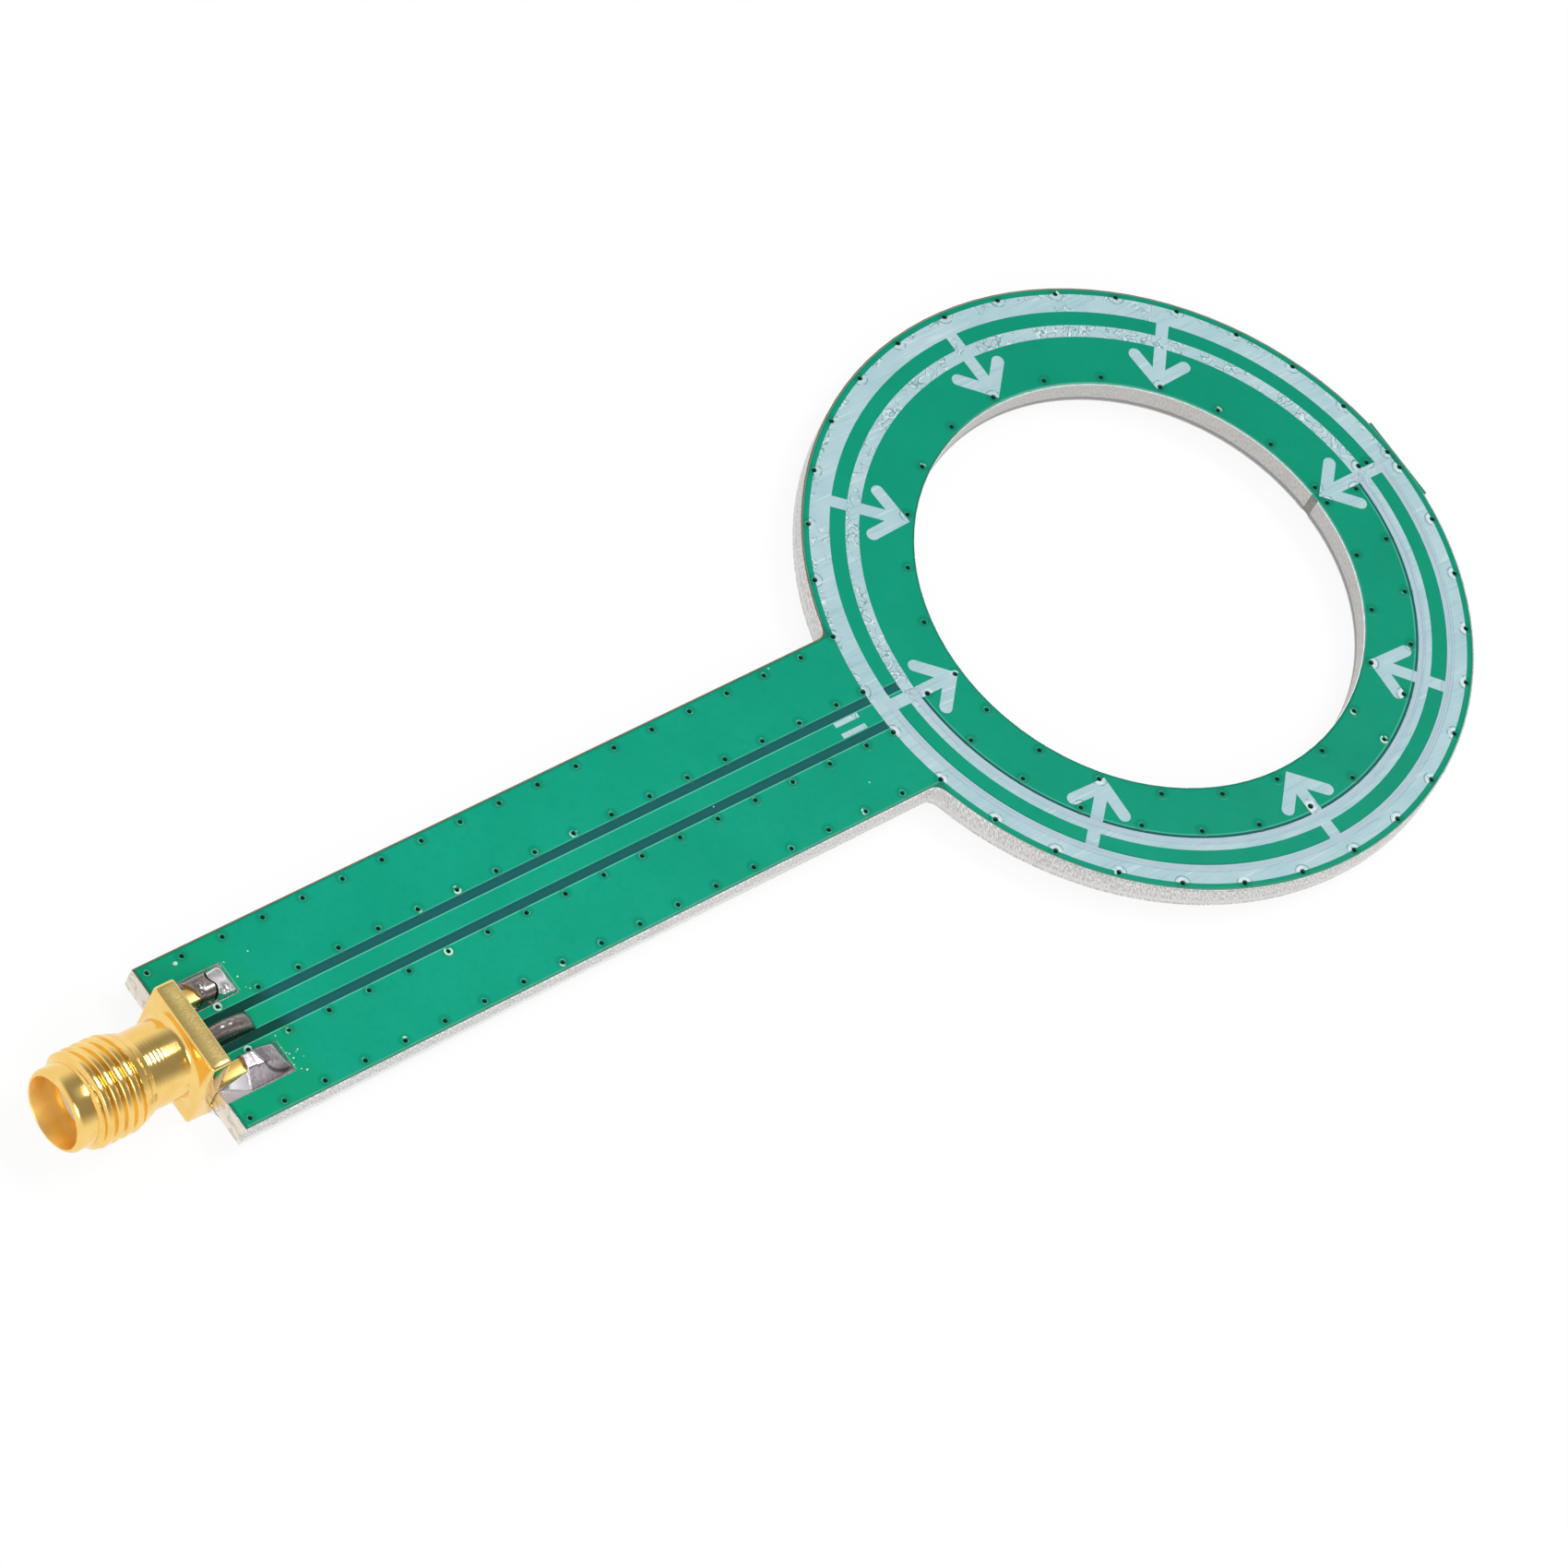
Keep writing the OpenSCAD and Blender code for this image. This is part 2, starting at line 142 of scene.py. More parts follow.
def plain_finish(name, fixed):
    """A fresh finish with its fixed values set."""
    finish = bpy.data.materials.new(name)
    finish.use_nodes = True
    for socket, value in fixed.items():
        finish.node_tree.nodes["Principled BSDF"].inputs[socket].default_value = value
    return finish


def new_finish(name, fixed):
    """A fresh finish, the spot on the piece that it colours, and that spot along X, Y and Z in millimetres."""
    finish = plain_finish(name, fixed)
    spot = Shade(finish.node_tree).node("ShaderNodeTexCoord", {}, {}, out="Object")
    axes = [spot.node("ShaderNodeSeparateXYZ", {}, {"Vector": spot}, out=i) / MM for i in range(3)]
    return finish, spot, axes


def grain(spot, size, detail=2.0, roughness=0.5):
    """Cloudy noise about size millimetres across, from 0 to 1."""
    return spot.node("ShaderNodeTexNoise", {},
                     {"Vector": spot, "Scale": 1 / (size * MM), "Detail": detail, "Roughness": roughness})


def cover(under, *layers):
    """The colour under, with one layer after another painted over it; a layer is its share and its colour."""
    for share, colour in layers:
        under = share.paint(under, colour)
    return under


def lay_on(spot, sockets, height, depth):
    """Feeds the finish's shader, with a relief of depth millimetres that follows the height."""
    skin = spot.tree.nodes["Principled BSDF"]
    bump = spot.node("ShaderNodeBump", {}, {"Strength": 1.0, "Distance": depth * MM, "Height": height})
    for name, value in {**sockets, "Normal": bump}.items():
        spot.tree.links.new(value.socket, skin.inputs[name])


def dress(finish, *names):
    """Gives the finish to pieces of the CAD model."""
    for name in names:
        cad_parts[name].material_slots[0].material = finish


laminate_finish, spot, (_, _, z) = new_finish("glass_epoxy", {"Specular IOR Level": 0.3})
cloth_layers = abs((z % cloth_pitch) - cloth_pitch / 2).rise(0.02, 0.08)
fibres = grain(spot, 0.12, 3.0)
lacquered = z.rise(laminate_top - 0.015, laminate_top - 0.005)
laminate_tone = cover(cloth_layers.paint(tone(142, 136, 130), tone(172, 166, 158)),
                      (fibres.rise(0.35, 0.7) * 0.7, tone(122, 116, 110)),
                      (lacquered, tone(0, 140, 108)))
lay_on(spot, {"Base Color": laminate_tone, "Roughness": 0.55 + fibres * 0.3}, fibres, 0.03)
dress(laminate_finish, "laminate")


# Two copper foils cover the board, and the signal strip is etched out of the upper one.
# They show only as a thin line at the rim and on the pads, where they are dipped in tin.
def diagonal(first, second):
    """Distance across two lengths that meet at a right angle."""
    return (first * first + second * second) ** 0.5


def far_half(x, y):
    """1 on the half of the loop that lies away from the handle, 0 on the other."""
    return (x * 0.88 + y * 0.47).rise(0.0, 9.0)


pads_end, handle_half = -70.4, 6.05
copper_finish, spot, (x, y, _) = new_finish("rim_copper", {"Metallic": 1.0})
patches = grain(spot, 0.4, 3.0)
reach = diagonal(x, y)
on_pads = x.rise(pads_end + 0.6, pads_end) * abs(y).rise(handle_half - 0.15, handle_half - 0.35)
# The window's rim line is painted pale on the far half as a painted highlight, and dark on the near half as
# painted shade.
rim_highlight_and_shade = reach.rise(18.0, 17.0)
near_rim = reach.rise(20.0, 21.0) * y.rise(0.0, -4.0)
copper_tone = cover(patches.mottle(tone(132, 98, 70), tone(158, 122, 88)),
                    (rim_highlight_and_shade, far_half(x, y).paint(tone(74, 104, 90), tone(206, 232, 226))),
                    (near_rim, tone(150, 164, 156)),
                    (on_pads, patches.mottle(tone(134, 130, 126), tone(166, 162, 158))))
lay_on(spot, {"Base Color": copper_tone, "Roughness": 0.3 + patches * 0.25}, patches, 0.004)
dress(copper_finish, "top_ground_copper", "signal_strip", "bottom_ground_copper")


# The routed edges are plated through and tinned, so the shield closes round the board's side.
# The router's twisted cutter leaves fine leaning strokes.
# Along the far outer side the copper shows as a thin brown rim, painted on that side only as painted shade.
loop_r, handle_start, board_end = 22.6, -21.7, -75.4
edge_finish, spot, (x, y, z) = new_finish("plated_edge", {"Metallic": 0.8})
outside = diagonal(x, y).rise(17.0, 18.0)
inside = 1 - outside
on_handle = x.rise(handle_start + 0.1, handle_start - 0.1)
on_end = x.rise(board_end + 0.1, board_end - 0.05)
along_ring = spot.maths("ARCTAN2", y, x) * loop_r
along_handle = x * (2 * y.rise(0.1, -0.1) - 1)
lean = z * (0.88 * outside - 0.48)
along = along_ring + on_handle * (along_handle - along_ring) + lean
leaning = spot.node("ShaderNodeCombineXYZ", {}, {"X": along, "Y": z * 0.32})
strokes = spot.node("ShaderNodeTexNoise", {"noise_dimensions": "2D"},
                    {"Vector": leaning, "Scale": 9.5, "Detail": 2.0})
clouds = grain(spot, 1.6, 3.0).rise(0.5, 0.75)
white_streaks = z.rise(0.35, 0.75) * strokes.rise(0.5, 0.6) * outside
# Painted shade: the top of the loop's outer walls is darker.
painted_top_shade = z.rise(0.62, 0.84) * outside * x.rise(-21.0, -19.0)
# Painted reflection: the foot of the handle's outer walls is painted white, like the white table mirrored in the
# tin.
painted_foot_reflection = z.rise(-0.05, -0.75) * outside * x.rise(-26.0, -48.0)
pale_dashes = abs(z + 0.5).rise(0.2, 0.1) * strokes.rise(0.52, 0.42) * outside
# Painted shade: a dark line low on the window's wall.
painted_low_shade_line = abs(z + 0.62).rise(0.2, 0.07) * inside
# Painted highlight: a pale line along the top of the window's wall, where it rounds over.
painted_brink_highlight = z.rise(0.78, 0.85) * inside
wavy = grain(spot, 1.1, 1.0)
# The end wall's ripples are real relief, and their darker lines are painted reflection.
painted_ripple_reflections = abs(wavy - 0.52).rise(0.07, 0.01) * on_end
# Painted shade: the copper's brown rim line, on the far outer side only.
far_copper_rim_shade = z.rise(0.85, 0.866) * outside * y.rise(-4.0, 0.0)
wall_tone = cover(strokes.rise(0.4, 0.6).paint(tone(190, 188, 186), tone(226, 225, 223)),
                  (clouds * 0.3, tone(182, 176, 171)),
                  (white_streaks * 0.3, tone(250, 250, 250)),
                  (painted_top_shade * 0.35, tone(126, 136, 130)),
                  (painted_foot_reflection * 0.6, tone(255, 255, 255)),
                  (pale_dashes * 0.5, tone(240, 240, 240)),
                  (inside * 0.55, tone(176, 172, 168)),
                  (painted_low_shade_line * 0.65, tone(116, 116, 120)),
                  (painted_brink_highlight * 0.5, tone(228, 246, 242)),
                  (on_end * 0.7, tone(240, 230, 212)),
                  (painted_ripple_reflections * 0.35, tone(142, 132, 124)),
                  (far_copper_rim_shade, tone(128, 100, 74)))
lay_on(spot, {"Base Color": wall_tone, "Roughness": 0.36 + strokes * 0.16 - on_end * 0.22},
       strokes * (1 - on_end) + wavy * on_end * 14.0, 0.006)
dress(edge_finish, "outer_edge_plating", "inner_edge_plating")


# Plated holes stitch the two foils together along every edge of the shield.
# Each is a copper tube, dull and dark inside, and here and there its rim has caught some tin.
via_finish, spot, (_, _, z) = new_finish("via_plating", {"Metallic": 0.2})
film = grain(spot, 0.25, 2.0)
tinned_rim = abs(z).rise(0.78, 0.865) * grain(spot, 4.0).rise(0.6, 0.66)
barrel_tone = cover(film.mottle(tone(36, 100, 82), tone(62, 126, 104)),
                    (tinned_rim, tone(216, 220, 206)))
lay_on(spot, {"Base Color": barrel_tone, "Roughness": 0.35 + film * 0.3}, film, 0.004)
dress(via_finish, "via_barrels")


# Green lacquer is screened over both faces and cured glossy. Over bare laminate, in the slots, it looks dark.
# It draws back a little round each plated hole, and it is deeper in colour where flux has soaked in by the joints.
def via_ring(turn, reach, radius, first, step):
    """Distance in millimetres to the nearest hole of a ring of them, first and step in degrees."""
    first, step = math.radians(first), math.radians(step)
    beside = abs((turn - first + step / 2) % step - step / 2) * radius
    return diagonal(beside, reach - radius)


def via_distance(x, y):
    """Distance in millimetres to the nearest plated hole."""
    window_ring, slot_ring, outer_ring, far = 15.7, 18.275, 22.15, 50.0
    turn = x.maths("ARCTAN2", abs(y), x)
    reach = diagonal(x, y)
    below = y.rise(0.001, -0.001) * far
    above = y.rise(-0.001, 0.001) * far
    upper = via_ring(turn, reach, window_ring, 2.373, 14.802) + below
    lower = via_ring(turn, reach, window_ring, 2.373, 15.146) + above
    slot = via_ring(turn, reach, slot_ring, 2.038, 12.633) + above
    rings = via_ring(turn, reach, outer_ring, 1.682, 10.882).least(upper).least(lower).least(slot)
    pitch, rows_start, rows_end, edge_row, slot_row = 3.0, -73.75, -22.75, 5.45, 1.625
    column = abs((x - rows_start) % pitch - pitch / 2)
    line = abs(abs(y) - edge_row).least(abs(abs(y) - slot_row))
    off_rows = x.rise(rows_end - 0.01, rows_end + 0.01) + x.rise(rows_start + 0.01, rows_start - 0.01)
    off_rings = x.rise(rows_end + 0.01, rows_end - 0.01)
    rows = diagonal(column, line) + off_rows * far
    corner_x, gap_x, gap_y, gap_half = -74.8, 19.9, 0.65, 0.35
    corner = diagonal(x - corner_x, abs(y) - edge_row)
    gap = diagonal(abs(x - gap_x) - gap_half, y - gap_y)
    return (rings + off_rings * far).least(rows).least(corner).least(gap)


def lacquer(name, has_strip):
    """Green lacquer of one face; the upper one darkens in the slots beside the signal strip."""
    slot_middle, slot_half, slot_arc_r = 0.975, 0.3, 18.925
    pad_middle, pad_aside, pad_half_long, pad_half_wide = -73.0, 2.975, 2.5, 1.075
    dust_pitch = 5.0
    finish, spot, (x, y, _) = new_finish(name, {"IOR": 1.5, "Specular IOR Level": 0.12})
    reach = diagonal(x, y)
    cloud = grain(spot, 5.0, 3.0)
    peel = grain(spot, 0.9, 2.0)
    fluxed = (x + grain(spot, 2.5, 2.0) * 3.0).rise(-66.4, -68.6)
    skin = cover(cloud.mottle(tone(0, 161, 128), tone(4, 166, 133)),
                 # Painted shade: towards the loop the lacquer is painted a little darker than along the handle.
                 (x.rise(-55.0, 10.0), cloud.mottle(tone(0, 146, 114), tone(0, 151, 118))),
                 (grain(spot, 0.35, 2.0).rise(0.45, 0.75) * 0.3, tone(0, 150, 117)),
                 (fluxed * 0.8, tone(0, 161, 117)))
    bare = abs(y).rise(0.31, 0.27) * x.rise(14.0, 14.5) * 0.45
    if has_strip:
        from_arc = abs(reach - slot_arc_r)
        on_handle = x.rise(-19.0, -19.1) * y.rise(-0.1, 0.1).most(reach.rise(20.9, 21.0))
        on_ring = y.rise(0.31, 0.29) * x.rise(-19.4, -19.3).most(y.rise(-0.66, -0.69))
        slots = abs(abs(y) - slot_middle).rise(slot_half + 0.01, slot_half - 0.01) * on_handle
        slot_arc = from_arc.rise(slot_half + 0.01, slot_half - 0.01) * on_ring
        bare = bare.most(slots).most(slot_arc)
        # Painted highlights: pale lines along the lacquer's steps at the slot edges, stronger on the lower side.
        lower_ledge_highlight = abs(abs(y + 0.34) - slot_middle).rise(0.05, 0.015) * 0.6
        upper_ledge_highlight = abs(abs(y - 0.34) - slot_middle).rise(0.05, 0.015) * 0.25
        arc_ledge_highlight = abs(from_arc - 0.36).rise(0.06, 0.02) * on_ring * 0.35
        ledge_highlights = (lower_ledge_highlight.most(upper_ledge_highlight) * on_handle).most(arc_ledge_highlight)
        skin = ledge_highlights.paint(skin, tone(124, 222, 192))
    from_pad = (abs(x - pad_middle) - pad_half_long).most(abs(abs(y) - pad_aside) - pad_half_wide)
    past_pad = x.rise(-70.6, -70.5) * abs(abs(y) - pad_aside).rise(1.12, 0.98)
    # Painted highlight: a pale line in the lacquer round the pads, where its edge rounds over.
    pad_edge_highlight = abs(from_pad - 0.11).rise(0.08, 0.03) * past_pad
    hole = via_distance(x, y)
    glints = 0.05 + grain(spot, 0.5, 1.0).rise(0.45, 0.7) * 0.4
    # Painted highlight: pale glints on the lacquer round the holes along the handle.
    hole_rim_highlight = hole.rise(0.26, 0.21) * glints * x.rise(-5.0, -25.0)
    by_the_jack = x.rise(-71.4, -71.8) * abs(y).rise(2.2, 2.0)
    tinned = by_the_jack.most(grain(spot, 6.0).rise(0.62, 0.64))
    hole_tin = hole.rise(0.32, 0.26) * tinned * grain(spot, 0.4, 1.0).rise(0.4, 0.5)
    on_loop = x.rise(-21.5, -21.3)
    loop_brink = reach.rise(22.36, 22.46).most(reach.rise(15.32, 15.2)) * on_loop
    handle_brink = abs(y).rise(5.8, 5.96) * (1 - on_loop)
    # Painted shade: a darker green along the lacquer's brinks, where it rounds over the board's edges.
    shaded_brink = loop_brink.most(handle_brink).most(x.rise(-75.2, -75.36))
    # Painted highlights: pale lines just inside the loop's outer brink, and inside the window's brink on the far
    # half.
    outer_rim_highlight = reach.rise(22.44, 22.48) * on_loop
    window_edge_highlight = reach.rise(15.32, 15.16) * far_half(x, y)
    cells = {"Vector": spot, "Scale": 1 / (dust_pitch * MM)}
    from_cell = spot.node("ShaderNodeTexVoronoi", {}, cells)
    cell_colour = spot.node("ShaderNodeTexVoronoi", {}, cells, out=1)
    chance = spot.node("ShaderNodeSeparateColor", {}, {"Color": cell_colour})
    dust = from_cell.rise(0.016, 0.009) * chance.rise(0.62, 0.64)
    skin = cover(skin,
                 (bare, fluxed.paint(tone(24, 97, 97), tone(6, 72, 62))),
                 (pad_edge_highlight * 0.45, tone(104, 208, 168)),
                 (from_pad.rise(0.07, 0.03) * 0.45, tone(58, 62, 44)),
                 (hole.rise(0.62, 0.2) * 0.35, tone(0, 92, 70)),
                 (hole_rim_highlight, tone(110, 218, 188)),
                 (hole_tin * 0.85, tone(206, 250, 232)),
                 (shaded_brink * 0.6, tone(8, 96, 76)),
                 (outer_rim_highlight * 0.5, tone(128, 196, 176)),
                 (window_edge_highlight * 0.7, tone(124, 204, 188)),
                 (dust * 0.7, tone(205, 232, 222)))
    lip = hole.rise(0.5, 0.32) * hole.rise(0.14, 0.24)
    lay_on(spot, {"Base Color": skin, "Roughness": 0.16 + peel * 0.12 + shaded_brink * 0.1 + dust * 0.3},
           peel * 0.2 + lip * 0.7 - shaded_brink * 2.0, 0.012)
    return finish


dress(lacquer("upper_lacquer", True), "top_solder_mask")
dress(lacquer("lower_lacquer", False), "bottom_solder_mask")


# The rings, arrows and bars are pale ink, pulled through a screen along the handle, which leaves fine streaks.
# It sinks into the slots under it, has dried crusty on the upper half, and stands up in flakes round the holes.
strip_r, slot_aside, line_pitch = 19.9, 0.975, 0.34
ink_finish, spot, (x, y, _) = new_finish("screened_ink", {"Specular IOR Level": 0.3})
reach = diagonal(x, y)
pulled = spot.node("ShaderNodeMapping", {},
                   {"Vector": spot, "Rotation": (0, 0, 0.07), "Scale": (0.05, 1.0, 1.0)})
streak = grain(pulled, 0.2, 3.0, 0.6)
on_lower = y.rise(0.5, 0.2)
from_slot = abs(abs(reach - strip_r) - slot_aside)
sunk = from_slot.rise(0.34, 0.26) * on_lower
shore = from_slot.rise(0.30, 0.34) * from_slot.rise(0.42, 0.37) * on_lower
broken = grain(spot, 1.5, 1.0).rise(0.4, 0.6) * on_lower * from_slot.rise(0.6, 0.5)
fine_lines = abs((reach % line_pitch) - line_pitch / 2).rise(0.05, 0.02) * broken
blots = grain(spot, 1.3, 1.0).rise(0.38, 0.54) * y.rise(-3.0, 2.0)
crusty = abs(reach - 19.25).rise(0.5, 0.4).most(reach.rise(21.7, 21.9))
crusty = crusty.most(grain(spot, 4.0).rise(0.55, 0.65) * 0.7)
worms = grain(spot, 0.5, 1.0, 0.4)
marks = abs(worms - 0.5).rise(0.035, 0.012) * blots * crusty
flecks = abs(worms - 0.56).rise(0.04, 0.015) * blots * crusty
hole = via_distance(x, y)
flakes = hole.rise(0.5, 0.34) * (0.25 + 0.75 * y.rise(1.0, -1.0)) * grain(spot, 0.3, 2.0).rise(0.36, 0.5)
crack = abs(hole - 0.52).rise(0.05, 0.015) * grain(spot, 0.4, 1.0).rise(0.42, 0.5)
ink_tone = cover(grain(spot, 2.2, 2.0).mottle(tone(167, 201, 208), tone(179, 207, 214)),
                 (streak.rise(0.54, 0.72) * 0.5, tone(142, 181, 191)),
                 (streak.rise(0.42, 0.3) * 0.6, tone(206, 226, 231)),
                 (sunk * 0.85, tone(176, 198, 209)),
                 (fine_lines * 0.35, tone(128, 156, 176)),
                 (shore * 0.35, tone(140, 164, 182)),
                 (marks * 0.8, tone(98, 150, 148)),
                 (flecks * 0.6, tone(234, 244, 246)),
                 (flakes * 0.7, tone(232, 242, 244)),
                 (crack * 0.7, tone(84, 132, 128)),
                 # Painted shade: a dark disc at each hole.
                 (hole.rise(0.22, 0.17), tone(26, 76, 66)))
lay_on(spot, {"Base Color": ink_tone, "Roughness": 0.5 + streak * 0.2},
       streak * 0.4 + flecks * 0.7 + flakes - marks * 0.7 - crack * 0.7, 0.02)
dress(ink_finish, "top_legend")


# The jack's body is turned and milled from brass and plated with bright gold.
# A square flange bears on the end of the board, four legs straddle it, and a fine thread runs round the barrel.
axis_height, turn_steps, slack, tiny = 1.39, 96, 0.01, 1e-6
flange_back, flange_front, flange_half, flange_bevel = -75.55, -77.05, 3.15, 0.2
neck_r, flare_r, corner_r = 2.5, 0.42, 4.6
thread_back, thread_r, thread_depth, thread_pitch, thread_steps = -79.95, 3.1, 0.32, 0.7056, 200
end_depth, front_slope, back_slope = 0.42, 1.2, 0.32
collar_back, collar_r, rim_x = -84.15, 2.65, -85.5
bore_r, mouth_r, mouth_floor = 2.05, 2.3, -83.6
rim_round = ((0.06, mouth_r), (0.0, mouth_r + 0.04), (0.0, 2.4), (0.1, 2.52), (0.25, 2.62), (0.4, collar_r))
leg_start, leg_long, leg_wide, leg_aside, leg_bevel = -75.75, 3.6, 1.0, 2.65, 0.07
leg_heights = ((0.90, 1.90), (-1.76, -0.90))
flare = [(flange_front - flare_r + flare_r * math.cos(a), neck_r + flare_r - flare_r * math.sin(a))
         for a in map(math.radians, range(90, -1, -10))]
thread_step = (thread_back - collar_back) / thread_steps
thread_rings = [(collar_back + thread_step * i, thread_r) for i in range(thread_steps + 1)]
outline = [(flange_back, bore_r), (mouth_floor, bore_r), (mouth_floor, mouth_r),
           *[(rim_x + in_from_rim, radius) for in_from_rim, radius in rim_round],
           (collar_back, collar_r), *thread_rings, (thread_back, neck_r), *flare,
           (flange_front, neck_r + flare_r + 0.02), (flange_front, corner_r), (flange_back, corner_r)]
shell = bmesh.new()
ring = [shell.verts.new((px * MM, 0, (axis_height + pr) * MM)) for px, pr in outline]
edges = [shell.edges.new((ring[i], ring[i - 1])) for i in range(len(ring))]
bmesh.ops.spin(shell, geom=ring + edges, cent=(0, 0, axis_height * MM), axis=(1, 0, 0), dvec=(0, 0, 0),
               angle=2 * math.pi, steps=turn_steps, use_merge=True)
bmesh.ops.remove_doubles(shell, verts=shell.verts, dist=1e-7)
for v in shell.verts:
    px, py, pz = v.co.x / MM, v.co.y / MM, v.co.z / MM - axis_height
    radius = math.hypot(py, pz)
    if radius > corner_r - slack:
        grown = flange_half / max(abs(py), abs(pz))
    elif radius > thread_r - slack and px < thread_back + slack:
        turn = (px / thread_pitch + math.atan2(py, pz) / (2 * math.pi)) % 1
        valley = (0.5 + 0.5 * math.cos(2 * math.pi * turn)) ** 3
        taper = thread_r - end_depth + min(front_slope * (px - collar_back), back_slope * (thread_back - px))
        grown = min(thread_r - thread_depth * valley, taper) / radius
    else:
        continue
    v.co.y, v.co.z = py * grown * MM, (axis_height + pz * grown) * MM


def on_flange(v):
    """True on the flange's four sides."""
    from_axis = max(abs(v.co.y), abs(v.co.z - axis_height * MM))
    return from_axis > flange_half * MM - tiny and v.co.x > flange_front * MM - tiny


def is_rim(edge):
    """True for the flange's outer edges, which run round its two faces and along its four corners."""
    first, second = edge.verts
    round_face = abs(first.co.x - second.co.x) < tiny
    along_corner = abs(abs(first.co.y) - abs(first.co.z - axis_height * MM)) < tiny
    return on_flange(first) and on_flange(second) and (round_face or along_corner)


def round_over(made, edges, width, steps):
    """Rounds edges over by a width in millimetres."""
    bmesh.ops.bevel(made, geom=edges, offset=width * MM, segments=steps, profile=0.5, affect="EDGES", material=-1)


round_over(shell, [e for e in shell.edges if is_rim(e)], flange_bevel, 3)
for side in (-1, 1):
    for low, high in leg_heights:
        middle = Vector((leg_start + leg_long / 2, side * leg_aside, (low + high) / 2)) * MM
        size = Vector((leg_long, leg_wide, high - low)) * MM
        leg = bmesh.ops.create_cube(shell, size=1.0, matrix=Matrix.Translation(middle)
                                    @ Matrix.Diagonal((*size, 1.0)))["verts"]
        round_over(shell, list({e for v in leg for e in v.link_edges}), leg_bevel, 2)
bmesh.ops.recalc_face_normals(shell, faces=shell.faces)


def to_mesh(name, made):
    """A finished bmesh as a mesh."""
    mesh = bpy.data.meshes.new(name)
    made.to_mesh(mesh)
    made.free()
    return mesh


def show(name, data):
    """Puts an object into the scene."""
    shown = bpy.data.objects.new(name, data)
    bpy.context.scene.collection.objects.link(shown)
    return shown


def piece(name, made, finish, stands_for, sharp=35):
    """Makes a finished mesh a piece of the probe."""
    mesh = to_mesh(name, made)
    mesh.shade_smooth()
    mesh.set_sharp_from_angle(angle=math.radians(sharp))
    mesh.materials.append(finish)
    made_piece = show(name, mesh)
    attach(made_piece, "root")
    if stands_for:
        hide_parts(*stands_for)


flange_top, lathe_pitch = axis_height + flange_half, 0.28
gold_finish, spot, (x, y, z) = new_finish("bright_gold", {"Metallic": 1.0})
from_axis = diagonal(y, z - axis_height)
tarnish = grain(spot, 1.4, 3.0)
pits = grain(spot, 0.16, 2.0)
specks = grain(spot, 0.2, 1.0).rise(0.64, 0.72)
on_neck = x.rise(thread_back + 0.05, thread_back + 0.25) * x.rise(-78.5, -78.8)
lathe_lines = spot.maths("SINE", x * (2 * math.pi / lathe_pitch)) * on_neck
# The flange's milled top is rougher and pitted, and its paler gold is painted light.
milled_top_painted_paler = z.rise(flange_top - 0.04, flange_top - 0.01) * x.rise(flange_front - 0.15, flange_front - 0.05)
on_legs = x.rise(flange_back + 0.05, flange_back + 0.25)
on_thread = x.rise(thread_back + 0.05, thread_back - 0.05) * from_axis.rise(2.4, 2.5)
in_mouth = from_axis.rise(mouth_r + 0.06, mouth_r + 0.02) * x.rise(mouth_floor + 0.6, mouth_floor + 0.4)
gold_tone = cover(tarnish.mottle(tone(243, 201, 114), tone(249, 212, 130)),
                  (milled_top_painted_paler * (0.5 + pits.rise(0.35, 0.65) * 0.5), tone(255, 228, 148)),
                  (milled_top_painted_paler * specks * 0.6, tone(255, 238, 184)))
blur = 0.09 + tarnish * 0.08 + milled_top_painted_paler * 0.08 + in_mouth * 0.3 + on_legs * 0.26 + on_thread * 0.01
lay_on(spot, {"Base Color": gold_tone, "Roughness": blur},
       lathe_lines * 0.5 + pits * (0.3 + milled_top_painted_paler * 0.5), 0.006)
piece("threaded_shell", shell, gold_finish, ["connector_shell"], 50)


# A white fluoropolymer core holds the contact in the middle of the jack.
# It is turned from rod and waxy, and the gold round it warms it.
core_finish, spot, _ = new_finish("white_core", {"Subsurface Weight": 0.1, "Subsurface Scale": 0.6 * MM})
haze = grain(spot, 0.8, 2.0)
lay_on(spot, {"Base Color": haze.mottle(tone(232, 222, 206), tone(244, 238, 228)),
              "Roughness": 0.4 + haze * 0.15}, grain(spot, 0.2), 0.004)
dress(core_finish, "connector_insulator")


# The contact is a slotted gold socket whose tail runs back along the strip.
# Only its mouth shows, down inside the jack.
dress(gold_finish, "connector_contact")


# Hand-fed tin solder wets each leg and its pad and has set in smooth facets, mirror-like and greyer over the legs.
# On the left a film hides the leg, and a black line is painted at the leg's end as painted shade and dark
# reflection in its crease.
# On the right one flat side is painted white as a painted highlight, and half of the leg is still bare gold.
leg_end = leg_start + leg_long
wave, wave_height = 4.5, 0.12
fold_start, fold_side, fold_bend, fold_run = -72.78, -3.85, 1.44, 0.55
solder_finish, spot, (x, y, z) = new_finish("bright_solder", {"Metallic": 1.0})
skin = grain(spot, 0.25, 2.0)
beyond = x - leg_end + spot.maths("SINE", y * wave) * wave_height
on_left, on_right = y.rise(1.2, 1.4), y.rise(-1.2, -1.4)
dull = (beyond.rise(0.1, 0.0) * on_left).most(abs(y).rise(1.0, 0.8))
# Painted shade and dark reflection: a black line in the crease at the left leg's end.
painted_crease_shade = abs(beyond + 0.06).rise(0.16, 0.08) * on_left * z.rise(1.15, 1.25) * y.rise(3.7, 3.4)
